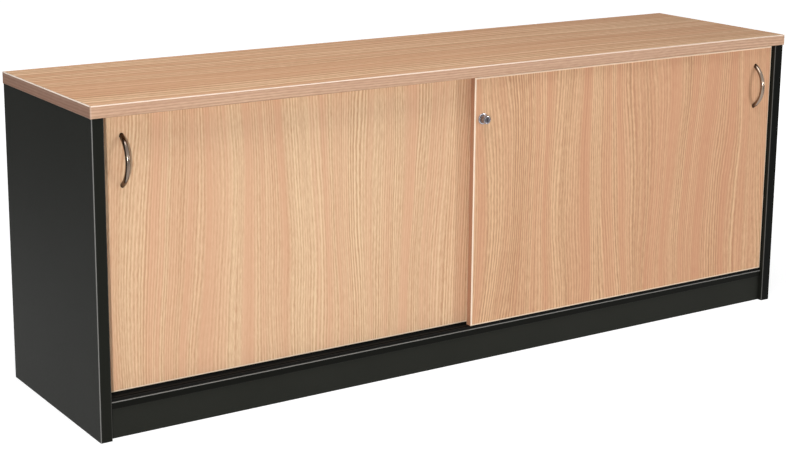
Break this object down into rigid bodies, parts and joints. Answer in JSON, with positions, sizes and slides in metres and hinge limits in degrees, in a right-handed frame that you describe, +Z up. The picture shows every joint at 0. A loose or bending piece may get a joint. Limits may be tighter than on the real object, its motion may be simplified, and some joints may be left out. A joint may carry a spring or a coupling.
{
  "type": "office credenza",
  "caption": "Low long office credenza with a beech worktop, overlapping beech sliding doors with bow handles and a push lock, and charcoal end panels, base and kick board.",
  "frame": {"origin": "on the floor, under the middle of the outline of the whole credenza with its handles", "axes": "+X along the length to the right as seen from the front, +Y from the front to the back, +Z up"},
  "size_m": [1.8, 0.4696, 0.665],
  "materials": {
    "beech_worktop": "satin beech melamine, grain along the length",
    "beech_edging": "satin plastic edging in beech print",
    "beech_door": "satin beech melamine, upright grain",
    "charcoal_board": "fine-textured charcoal melamine",
    "black_plastic": "satin black moulded plastic",
    "nylon": "off-white moulded nylon",
    "nickel": "satin nickel plate",
    "steel": "zinc-plated steel",
    "dowel_wood": "raw turned hardwood"
  },
  "bodies": {
    "carcass": {"worktop_panel": "beech_worktop", "worktop_edge_front": "beech_edging", "worktop_edge_back": "beech_edging", "worktop_edge_left": "beech_edging", "worktop_edge_right": "beech_edging", "left_end_panel": "charcoal_board", "right_end_panel": "charcoal_board", "base_panel": "charcoal_board", "kick_board": "charcoal_board", "back_panel": "charcoal_board", "centre_divider": "charcoal_board", "left_shelf": "charcoal_board", "right_shelf": "charcoal_board", "bottom_track": "black_plastic", "top_track_front": "black_plastic", "top_track_rear": "black_plastic", "dowel_left_front": "dowel_wood", "dowel_left_back": "dowel_wood", "dowel_right_front": "dowel_wood", "dowel_right_back": "dowel_wood", "shelf_pin_left_end_front": "steel", "shelf_pin_left_end_back": "steel", "shelf_pin_left_middle_front": "steel", "shelf_pin_left_middle_back": "steel", "shelf_pin_right_end_front": "steel", "shelf_pin_right_end_back": "steel", "shelf_pin_right_middle_front": "steel", "shelf_pin_right_middle_back": "steel"},
    "left_sliding_door": {"left_door": "beech_door", "left_handle": "nickel", "left_handle_screw_lower": "steel", "left_handle_screw_upper": "steel", "left_door_housing_left": "black_plastic", "left_door_housing_right": "black_plastic", "left_door_axle_left": "steel", "left_door_axle_right": "steel", "lock_strike": "black_plastic", "lock_strike_screw_lower": "steel", "lock_strike_screw_upper": "steel"},
    "left_door_wheel_left_body": {"left_door_wheel_left": "nylon"},
    "left_door_guide_left_body": {"left_door_guide_left": "nylon"},
    "left_door_wheel_right_body": {"left_door_wheel_right": "nylon"},
    "left_door_guide_right_body": {"left_door_guide_right": "nylon"},
    "right_sliding_door": {"right_door": "beech_door", "right_handle": "nickel", "right_handle_screw_lower": "steel", "right_handle_screw_upper": "steel", "right_door_housing_left": "black_plastic", "right_door_housing_right": "black_plastic", "right_door_axle_left": "steel", "right_door_axle_right": "steel", "lock_housing": "nickel"},
    "right_door_wheel_left_body": {"right_door_wheel_left": "nylon"},
    "right_door_guide_left_body": {"right_door_guide_left": "nylon"},
    "right_door_wheel_right_body": {"right_door_wheel_right": "nylon"},
    "right_door_guide_right_body": {"right_door_guide_right": "nylon"},
    "lock_barrel_body": {"lock_barrel": "nickel"},
    "lock_plug_body": {"lock_plug": "steel"}
  },
  "joints": [
    {"name": "left_door_slide", "type": "slide", "parent": "carcass", "child": "left_sliding_door", "axis": [1, 0, 0], "range_m": [0, 0.79]},
    {"name": "left_door_wheel_left_roll", "type": "hinge", "parent": "left_sliding_door", "child": "left_door_wheel_left_body", "pos_m": [-0.751, -0.16175, 0.0868], "axis": [0, 1, 0], "continuous": true},
    {"name": "left_door_guide_left_press", "type": "slide", "parent": "left_sliding_door", "child": "left_door_guide_left_body", "axis": [0, 0, -1], "range_m": [0, 0.009], "stiffness_N_per_m": 300, "springref_m": -0.003},
    {"name": "left_door_wheel_right_roll", "type": "hinge", "parent": "left_sliding_door", "child": "left_door_wheel_right_body", "pos_m": [-0.087, -0.16175, 0.0868], "axis": [0, 1, 0], "continuous": true},
    {"name": "left_door_guide_right_press", "type": "slide", "parent": "left_sliding_door", "child": "left_door_guide_right_body", "axis": [0, 0, -1], "range_m": [0, 0.009], "stiffness_N_per_m": 300, "springref_m": -0.003},
    {"name": "right_door_slide", "type": "slide", "parent": "carcass", "child": "right_sliding_door", "axis": [1, 0, 0], "range_m": [-0.79, 0]},
    {"name": "right_door_wheel_left_roll", "type": "hinge", "parent": "right_sliding_door", "child": "right_door_wheel_left_body", "pos_m": [0.109, -0.19375, 0.0868], "axis": [0, 1, 0], "continuous": true},
    {"name": "right_door_guide_left_press", "type": "slide", "parent": "right_sliding_door", "child": "right_door_guide_left_body", "axis": [0, 0, -1], "range_m": [0, 0.009], "stiffness_N_per_m": 300, "springref_m": -0.003},
    {"name": "right_door_wheel_right_roll", "type": "hinge", "parent": "right_sliding_door", "child": "right_door_wheel_right_body", "pos_m": [0.751, -0.19375, 0.0868], "axis": [0, 1, 0], "continuous": true},
    {"name": "right_door_guide_right_press", "type": "slide", "parent": "right_sliding_door", "child": "right_door_guide_right_body", "axis": [0, 0, -1], "range_m": [0, 0.009], "stiffness_N_per_m": 300, "springref_m": -0.003},
    {"name": "lock_push", "type": "slide", "parent": "right_sliding_door", "child": "lock_barrel_body", "axis": [0, 1, 0], "range_m": [0, 0.009], "stiffness_N_per_m": 400, "springref_m": -0.002},
    {"name": "lock_plug_turn", "type": "hinge", "parent": "lock_barrel_body", "child": "lock_plug_body", "pos_m": [0.01, -0.20275, 0.547], "axis": [0, 1, 0], "range_deg": [0, 90]}
  ],
  "couplings": [
    {"joint": "left_door_wheel_left_roll", "follows": "left_door_slide", "rad_per_m": 111.11},
    {"joint": "left_door_wheel_right_roll", "follows": "left_door_slide", "rad_per_m": 111.11},
    {"joint": "right_door_wheel_left_roll", "follows": "right_door_slide", "rad_per_m": 111.11},
    {"joint": "right_door_wheel_right_roll", "follows": "right_door_slide", "rad_per_m": 111.11}
  ]
}
